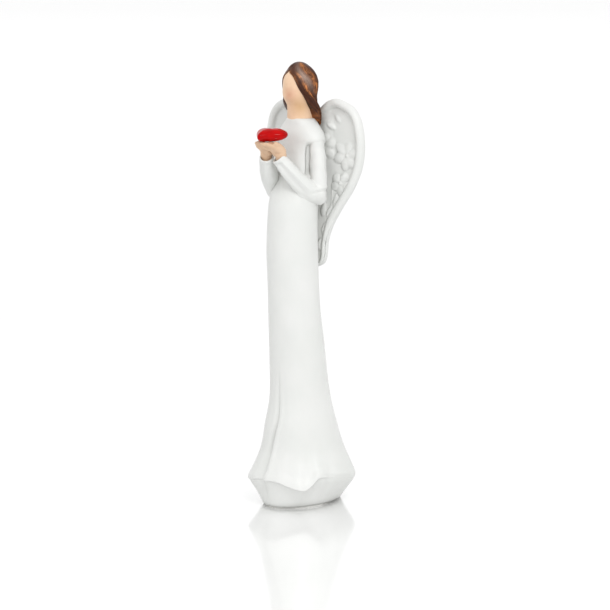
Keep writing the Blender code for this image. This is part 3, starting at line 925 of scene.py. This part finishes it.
def turn_head(points):
    """From the head's own direction into the figure's."""
    c, s = math.cos(HEAD_TURN), math.sin(HEAD_TURN)
    x, y = points[..., 0], points[..., 1]
    return np.stack([c * x - s * y, s * x + c * y, points[..., 2]], axis=-1) + HEAD_AXIS


def build_head(material):
    turn = np.linspace(-180.0, 180.0, HEAD_COLUMNS, endpoint=False)
    z, way = np.meshgrid(spread(HEAD_ROWS), turn, indexing="ij")
    front, half, back = smooth(HEAD_STATIONS, z)
    angle = np.radians(way)
    reach = np.where(np.abs(way) < 90.0, front, back)
    x, y = half * np.sin(angle), -reach * np.cos(angle)
    chin = 0.5 * bell(z - 276.4, 2.4) * bell(turned(way, 0.0), 26.0)
    brow = 0.25 * bell(z - 285.6, 3.0) * bell(turned(way, 0.0), 40.0)
    cheek = 0.3 * bell(z - 279.6, 3.4) * (bell(turned(way, 34.0), 16.0) + bell(turned(way, -34.0), 16.0))
    rise = chin + brow + cheek
    x += rise * np.sin(angle)
    y -= rise * np.cos(angle)
    head = grid_object("head_and_neck_skin", turn_head(np.stack([x, y, z], axis=-1)))
    return declare(head, ["head_and_neck"], material)


def hair_columns(heights):
    """Directions of the hair's columns, across the face and then round the back, and the face edge."""
    left_edge, right_edge = (edge[:, None] for edge in smooth(FACE_EDGE, heights))
    start, end = WALL_ANGLE - right_edge, left_edge - WALL_ANGLE
    across_face = start + (end - start) * np.linspace(0.0, 1.0, FACE_COLUMNS + 2)[None, 1:-1]
    wall = WALL_ANGLE * np.linspace(0.0, 1.0, WALL_COLUMNS + 1)[None, :-1]
    share = np.linspace(0.0, 1.0, SIDE_COLUMNS)[None] ** 1.15
    left = left_edge + 1.0 + (179.0 - left_edge) * share
    right = 360.0 - (right_edge + 1.0 + (179.0 - right_edge) * share[:, -2:0:-1])
    columns = [across_face, end + wall, left, right, 360.0 + start - wall[:, ::-1]]
    way = np.concatenate(columns, axis=1)
    return way, np.where(way % 360.0 < 180.0, left_edge, right_edge)


def strand_rise(part, heights, lock):
    """Grooves between strands: parts of a turn from the face edge to the back, wavering with height."""
    waver = part + 0.006 * np.sin(heights * 0.35 + part * 40.0) + 0.004 * np.sin(heights * 0.8)
    coarse = np.abs(np.sin(math.pi * waver * STRANDS / 2))
    fine = np.abs(np.sin(math.pi * waver * STRANDS * 1.37 + 0.7))
    broad = np.sin(2 * math.pi * waver * 9.0 + 0.5)
    return (0.34 * coarse + 0.16 * fine - 0.3) + 0.18 * broad * (1 - lock)


def on_side(heights):
    """1 on the hair's sides, fading out on the crown."""
    return ramp(295.0, 289.0, heights)


def lock_share(past):
    """1 on the front lock, 0 past its back edge."""
    return 1 - ramp(-3.0, 1.0, past)


def hair_radius(away, edge, lock_end, part, z):
    """Outer radius of the hair: a cap, a raised lock beside the face, strands and the parting."""
    front, side, back, _ = smooth(HAIR_STATIONS, z)
    ahead = front + (side - front) * ramp(30.0, 90.0, away)
    behind = side + (back - side) * ramp(90.0, 180.0, away)
    total = np.where(away < 90.0, ahead, behind)
    past = away - lock_end
    lock = lock_share(past)
    half_lock = 0.5 * (lock_end - edge) + 1.0
    swell = np.sqrt(np.clip(1 - ((away - (edge + lock_end) / 2) / half_lock) ** 2, 0.0, 1.0))
    total += on_side(z) * (1.25 * swell * lock - 0.75 * bell(past - 2.0, 4.0))
    total += strand_rise(part, z, lock) * (1 - ramp(292.0, 299.5, z)) * ramp(0.0, 0.02, part + 0.004)
    return total - 0.7 * bell(away, 5.0) * ramp(291.0, 294.0, z) * (1 - ramp(298.0, 299.6, z))


def head_radius(away, z):
    """Radius of the head under the hair."""
    front, half, back = smooth(HEAD_STATIONS, z)
    angle = np.radians(away)
    return np.where(away < 90.0, np.hypot(front * np.cos(angle), half * np.sin(angle)), back)


def with_ends(values):
    """Values of a grid's points followed by those of the middle points that close its ends."""
    return np.concatenate([values.ravel(), [values[row].mean() for row in (0, -1)]])


def paint_hair(mesh, from_edge, past, part, z):
    """The strands' run as a UV map, and the places of the copper and of the painted highlight."""
    set_uv(mesh, "strands", with_ends(part), with_ends(z / FIGURE_HEIGHT))
    copper = 1.6 * bell(past + 3.0, 6.0) * on_side(z)
    copper += bell(past - 40.0, 16.0) * ramp(272.0, 282.0, z)
    copper += 0.45 * bell(z - 262.0, 6.0) * lock_share(past)
    copper += 0.9 * bell(from_edge - 3.0, 7.0) * bell(z - 291.0, 4.0)
    set_attribute(mesh, "copper", with_ends(copper))
    # Painted highlight: where a pale brown highlight is painted on the crown.
    set_attribute(mesh, "painted_sheen", with_ends(bell(past - 12.0, 15.0) * bell(z - 290.0, 7.0)))


def build_hair(material):
    """Hair round the head, with its skin tucked under the face inside the face edge."""
    low, high = HAIR_STATIONS[0][0], HAIR_STATIONS[-1][0]
    share = np.linspace(0.0, 1.0, HAIR_ROWS)
    heights = low + (high - low) * (0.45 * share + 0.55 * np.sin(math.pi / 2 * share))
    way, edge = hair_columns(heights)
    z = heights[:, None] + 0 * way
    lean = smooth(HAIR_STATIONS, z)[3]
    away = np.minimum(way % 360.0, 360.0 - way % 360.0)
    part = np.clip((away - edge) / (180.0 - edge), 0.0, 1.0)
    lock_end = smooth(LOCK_EDGE, z)[0]
    head = head_radius(away, z)
    hair = np.maximum(hair_radius(away, edge, lock_end, part, z), head + HAIR_COVER - lean)
    hidden = np.maximum(head - HAIR_TUCK, 0.4)
    covered = ramp(-WALL_ANGLE, 0.6, away - edge) ** 0.8
    reach = np.where(away < edge, hidden + (np.maximum(hair, hidden) - hidden) * covered, hair)
    angle = np.radians(way)
    points = np.stack([reach * np.sin(angle), -lean - reach * np.cos(angle), z], axis=-1)
    ragged = 1.3 * np.sin(part * 150.0) + 0.9 * np.sin(part * 61.0 + 1.0)
    points[..., 2] += ragged * (1 - ramp(low, low + RAGGED_END, z)) * (part > 0)
    skin = grid_object("hair_strands", turn_head(points))
    paint_hair(skin.data, away - edge, away - lock_end, part, z)
    return declare(skin, ["hair"], material)


# Materials


def new_material(name, colour, roughness, metallic=0.0):
    material = bpy.data.materials.new(name)
    material.use_nodes = True
    material.diffuse_color = (*colour, 1.0)
    shader = material.node_tree.nodes["Principled BSDF"]
    shader.inputs["Base Color"].default_value = (*colour, 1.0)
    shader.inputs["Roughness"].default_value = roughness
    shader.inputs["Metallic"].default_value = metallic
    return material, material.node_tree, shader


def fill(tree, socket, value):
    """Set a socket to a number, a vector or an opaque colour, or link another socket to it."""
    if isinstance(value, bpy.types.NodeSocket):
        tree.links.new(value, socket)
    elif socket.type == "RGBA":
        socket.default_value = (*value, 1.0)
    else:
        socket.default_value = value


def add(tree, kind, **inputs):
    """A new node with its inputs filled, spaces in their names written as underscores."""
    node = tree.nodes.new(kind)
    for name, value in inputs.items():
        fill(tree, node.inputs[name.replace("_", " ")], value)
    return node


def finish_shader(tree, shader, colour, roughness, normal):
    for name, value in (("Base Color", colour), ("Roughness", roughness), ("Normal", normal)):
        tree.links.new(value, shader.inputs[name])


def position(tree):
    return tree.nodes.new("ShaderNodeTexCoord").outputs["Object"]


def noise(tree, vector, scale, detail=3.0, roughness=0.5):
    node = add(
        tree, "ShaderNodeTexNoise", Vector=vector, Scale=scale, Detail=detail, Roughness=roughness
    )
    return node.outputs["Fac"]


def ranged(tree, value, low, high, from_low=0.0, from_high=1.0):
    """The value carried from one range to low and high, and held there beyond it."""
    source = {"Value": value, "From_Min": from_low, "From_Max": from_high}
    return add(tree, "ShaderNodeMapRange", **source, To_Min=low, To_Max=high).outputs["Result"]


def mixed(tree, factor, first, second):
    """Mix of two colours, each a tuple or a socket."""
    node = tree.nodes.new("ShaderNodeMix")
    node.data_type = "RGBA"
    for place, value in ((0, factor), (6, first), (7, second)):
        fill(tree, node.inputs[place], value)
    return node.outputs[2]


def product(tree, first, second):
    """Product of two values, each a number or a socket."""
    node = tree.nodes.new("ShaderNodeMath")
    node.operation = "MULTIPLY"
    for socket, value in zip(node.inputs, (first, second)):
        fill(tree, socket, value)
    return node.outputs[0]


def bump(tree, height, distance, strength, onto=None):
    node = add(tree, "ShaderNodeBump", Height=height, Distance=distance * UNIT, Strength=strength)
    if onto is not None:
        tree.links.new(onto, node.inputs["Normal"])
    return node.outputs["Normal"]


def pointiness(tree):
    """About 0.5 on flat places, less in recesses and more on edges."""
    return tree.nodes.new("ShaderNodeNewGeometry").outputs["Pointiness"]


def attribute(tree, name):
    node = tree.nodes.new("ShaderNodeAttribute")
    node.attribute_name = name
    return node.outputs["Fac"]


def stretched(tree, vector, scale):
    return add(tree, "ShaderNodeMapping", Vector=vector, Scale=scale).outputs["Vector"]


def resin_material():
    """Off-white satin paint: faint mottling, painted shade darkening the recesses and hollows, rubbed
    edges, brush texture.
    """
    material, tree, shader = new_material("ivory_resin_paint", (0.74, 0.745, 0.72), 0.42)
    place = position(tree)
    mottle = ranged(tree, noise(tree, place, 38.0, 4.0), 0.0, 1.0, 0.3, 0.7)
    base = mixed(tree, mottle, (0.668, 0.680, 0.658), (0.704, 0.708, 0.692))
    # Painted shade: recesses, found by pointiness, are darkened and made patchy by noise.
    painted_recess_shade = ranged(tree, pointiness(tree), 1.0, 0.0, 0.42, 0.5)
    patchy_recess_shade = product(tree, painted_recess_shade, ranged(tree, noise(tree, place, 240.0), 0.5, 1.0, 0.35, 0.65))
    toned = mixed(tree, patchy_recess_shade, base, (0.60, 0.61, 0.585))
    # Painted shade: ambient occlusion darkens hollows and gaps between parts, such as the pleat, the arm
    # slot and the wing field.
    hollow = add(tree, "ShaderNodeAmbientOcclusion", Distance=8.0 * UNIT)
    painted_ao_shade = ranged(tree, hollow.outputs["AO"], 0.75, 0.0, 0.15, 0.75)
    toned = mixed(tree, painted_ao_shade, toned, (0.46, 0.465, 0.44))
    worn = ranged(tree, pointiness(tree), 0.0, 0.7, 0.53, 0.62)
    rubbed = mixed(tree, worn, toned, (0.79, 0.79, 0.77))
    gloss = ranged(tree, noise(tree, place, 90.0, 5.0), 0.34, 0.52, 0.3, 0.7)
    soft = bump(tree, noise(tree, place, 170.0, 2.0), 0.12, 0.35)
    grain = bump(tree, noise(tree, place, 1500.0, 3.0, 0.6), 0.03, 0.3, soft)
    finish_shader(tree, shader, rubbed, gloss, grain)
    return material


def spot(tree, place, centre, radius):
    """1 at the centre and nothing beyond the radius, both in design millimetres."""
    node = tree.nodes.new("ShaderNodeVectorMath")
    node.operation = "DISTANCE"
    tree.links.new(place, node.inputs[0])
    node.inputs[1].default_value = [value * UNIT for value in centre]
    return ranged(tree, node.outputs["Value"], 1.0, 0.0, from_high=radius * UNIT)


def skin_material(name, tone=1.0, spots=()):
    """Peach satin paint: mottled, with painted shade darkening the recesses, and any spots of colour
    given: on the face an airbrushed blush and painted shade under the jaw.
    """
    material, tree, shader = new_material(name, (0.80, 0.56, 0.38), 0.5)
    place = position(tree)
    mottle = ranged(tree, noise(tree, place, 120.0, 4.0), 0.0, 1.0, 0.3, 0.7)
    dark, light = (tuple(tone * part for part in paint) for paint in SKIN_TONES)
    colour = mixed(tree, mottle, dark, light)
    # Painted shade: recesses, found by pointiness, are darkened to brown.
    painted_recess_shade = ranged(tree, pointiness(tree), 0.8, 0.0, 0.40, 0.5)
    colour = mixed(tree, painted_recess_shade, colour, (0.50, 0.27, 0.13))
    # Spots: on the face an airbrushed blush, then painted shade under the jaw.
    for centre, radius, paint in spots:
        colour = mixed(tree, product(tree, spot(tree, place, centre, radius), 0.9), colour, paint)
    gloss = ranged(tree, noise(tree, place, 300.0), 0.42, 0.58, 0.3, 0.7)
    finish_shader(tree, shader, colour, gloss, bump(tree, noise(tree, place, 420.0, 3.0), 0.06, 0.35))
    return material


def hair_material():
    """Dark brown gloss paint with broken copper strokes along the strands and a painted highlight, pale
    brown, on the crown.
    """
    material, tree, shader = new_material("hair_paint_brushed", (0.06, 0.02, 0.01), 0.3)
    shader.inputs["IOR"].default_value = 1.3
    uv = tree.nodes.new("ShaderNodeUVMap")
    uv.uv_map = "strands"
    streak = noise(tree, stretched(tree, uv.outputs["UV"], (150.0, 26.0, 1.0)), 1.0, 4.0, 0.6)
    tone = ranged(tree, streak, 0.0, 1.0, 0.35, 0.7)
    brown = mixed(tree, tone, (0.022, 0.007, 0.004), (0.11, 0.032, 0.012))
    ridge = ranged(tree, pointiness(tree), 0.25, 1.0, 0.46, 0.54)
    amount = product(tree, attribute(tree, "copper"), ranged(tree, streak, 0.0, 1.3, 0.42, 0.62))
    amount = product(tree, amount, ridge)
    patches = ranged(tree, noise(tree, position(tree), 260.0, 3.0), 0.35, 1.5, 0.4, 0.62)
    amount = product(tree, amount, patches)
    colour = mixed(tree, amount, brown, (0.86, 0.31, 0.08))
    # Painted highlight: pale brown colour on the crown, along the strands.
    painted_sheen_share = product(tree, attribute(tree, "painted_sheen"), ranged(tree, streak, 0.2, 0.9, 0.3, 0.7))
    colour = mixed(tree, painted_sheen_share, colour, (0.52, 0.38, 0.31))
    gloss = ranged(tree, streak, 0.24, 0.46, 0.3, 0.7)
    finish_shader(tree, shader, colour, gloss, bump(tree, streak, 0.12, 0.5))
    return material


def enamel_material():
    """Thick glossy red enamel with painted shade darkening the rounded edges, and a faint orange-peel
    surface.
    """
    material, tree, shader = new_material("heart_enamel_gloss", (0.55, 0.004, 0.004), 0.16)
    place = position(tree)
    depth = ranged(tree, noise(tree, place, 160.0, 3.0), 0.0, 1.0, 0.3, 0.7)
    colour = mixed(tree, depth, (0.34, 0.0, 0.001), (0.48, 0.001, 0.001))
    # Painted shade: the heart's rounded edges, found by pointiness, are darkened.
    rim = ranged(tree, pointiness(tree), 0.0, 0.7, 0.52, 0.60)
    colour = mixed(tree, rim, colour, (0.30, 0.0, 0.003))
    gloss = ranged(tree, noise(tree, place, 260.0), 0.06, 0.10, 0.3, 0.7)
    shader.inputs["IOR"].default_value = 1.2
    finish_shader(tree, shader, colour, gloss, bump(tree, noise(tree, place, 330.0, 2.0), 0.08, 0.3))
    return material


def steel_material():
    """Drawn wire: fine lines along the pin, slightly uneven shine."""
    material, tree, shader = new_material("steel_pin_wire", (0.55, 0.55, 0.55), 0.3, 1.0)
    lines = noise(tree, stretched(tree, position(tree), (4000.0, 300.0, 4000.0)), 1.0, 2.0)
    colour = mixed(tree, lines, (0.48, 0.48, 0.50), (0.62, 0.61, 0.60))
    finish_shader(tree, shader, colour, ranged(tree, lines, 0.2, 0.45), bump(tree, lines, 0.01, 0.3))
    return material


def felt_material():
    """Thin pale felt: fine fibres with darker matted clumps."""
    material, tree, shader = new_material("felt_fibres", (0.55, 0.55, 0.53), 0.95)
    place = position(tree)
    fibres = noise(tree, place, 2600.0, 6.0, 0.75)
    clumps = noise(tree, place, 420.0, 3.0)
    colour = mixed(tree, fibres, (0.46, 0.46, 0.44), (0.66, 0.66, 0.63))
    matted = ranged(tree, clumps, 0.0, 0.4, 0.4, 0.7)
    colour = mixed(tree, matted, colour, (0.40, 0.40, 0.38))
    finish_shader(tree, shader, colour, ranged(tree, fibres, 0.85, 1.0), bump(tree, fibres, 0.1, 0.8))
    return material


def plug_material():
    """Pale vinyl stopper with a fine moulded grain."""
    material, tree, shader = new_material("plug_vinyl", (0.70, 0.70, 0.67), 0.55)
    grain = noise(tree, position(tree), 1400.0, 4.0)
    colour = mixed(tree, grain, (0.64, 0.64, 0.61), (0.76, 0.76, 0.73))
    finish_shader(tree, shader, colour, ranged(tree, grain, 0.45, 0.65), bump(tree, grain, 0.03, 0.4))
    return material


def dress_node(name, material):
    """Give a CAD node that stays in view its material."""
    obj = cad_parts[name]
    obj.data.materials.clear()
    obj.data.materials.append(material)


# Stage, light and camera


def build_floor():
    """A wide, flat, pale floor that mirrors the figure softly."""
    bm = bmesh.new()
    bmesh.ops.create_grid(bm, x_segments=2, y_segments=2, size=FLOOR_HALF_WIDTH)
    mesh = bpy.data.meshes.new("studio_floor")
    bm.to_mesh(mesh)
    bm.free()
    floor = new_object("studio_floor", mesh)
    material, tree, shader = new_material("floor_acrylic", (0.97, 0.97, 0.97), 0.12, 0.55)
    cloud = noise(tree, position(tree), 3.0, 2.0)
    colour = mixed(tree, cloud, (0.965, 0.965, 0.965), (0.975, 0.975, 0.975))
    tree.links.new(colour, shader.inputs["Base Color"])
    floor.data.materials.append(material)


def softbox(name, direction, elevation, distance, size, power, target):
    """A rectangular area light that looks at target."""
    data = bpy.data.lights.new(name, "AREA")
    data.shape = "RECTANGLE"
    data.size, data.size_y = size
    data.energy = power
    lamp = new_object(name, data)
    a, e = math.radians(direction), math.radians(elevation)
    back = Vector((math.sin(a) * math.cos(e), -math.cos(a) * math.cos(e), math.sin(e)))
    lamp.location = target + back * distance
    lamp.rotation_euler = back.to_track_quat("Z", "Y").to_euler()


def build_light():
    world = bpy.data.worlds.new("studio")
    bpy.context.scene.world = world
    world.use_nodes = True
    background = world.node_tree.nodes["Background"]
    background.inputs["Color"].default_value = (1.0, 1.0, 1.0, 1.0)
    background.inputs["Strength"].default_value = WORLD_STRENGTH
    target = Vector((0.0, 0.0, 0.6 * FIGURE_HEIGHT * UNIT))
    for name, values in SOFTBOXES.items():
        softbox(name, *values, target)
    data = bpy.data.lights.new("overhead", "SUN")
    data.energy = SUN_STRENGTH
    data.angle = math.radians(SUN_SPREAD)
    lamp = new_object("overhead", data)
    lamp.rotation_euler = (math.radians(50.0), 0.0, math.radians(95.0))
    bpy.context.scene.view_settings.view_transform = "Standard"


def build_camera():
    """The photograph's viewpoint, above the figure's head, looking a little down from its left."""
    view = math.radians(CAMERA_DIRECTION)
    data = bpy.data.cameras.new("camera")
    data.lens = CAMERA_LENS
    camera = new_object("camera", data)
    out, across = CAMERA_DISTANCE * math.cos(view), CAMERA_DISTANCE * math.sin(view)
    camera.location = (across, -out, CAMERA_HEIGHT)
    heading = math.radians(CAMERA_DIRECTION - CAMERA_ASIDE)
    camera.rotation_euler = (math.pi / 2 - math.radians(CAMERA_DIP), 0.0, heading)
    bpy.context.scene.camera = camera


def build():
    resin = resin_material()
    build_gown(resin)
    for word, side in (("left", 1), ("right", -1)):
        build_sleeve(word, side, resin)
        build_wing(word, side, resin)
    # Painted shade: the hands take the face's skin paint made darker.
    hands = skin_material("skin_paint_hands_shaded", tone=HAND_SHADE_TONE)
    build_hand("left", 1, hands)
    build_hand("right", -1, hands)
    build_head(skin_material("skin_paint_face", spots=FACE_BLUSH_AND_SHADE))
    build_hair(hair_material())
    build_heart(enamel_material())
    steel = steel_material()
    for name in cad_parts:
        if "_pin" in name:
            dress_node(name, steel)
    dress_node("base_plug", plug_material())
    dress_node("felt_pad", felt_material())


build()
build_floor()
build_light()
build_camera()
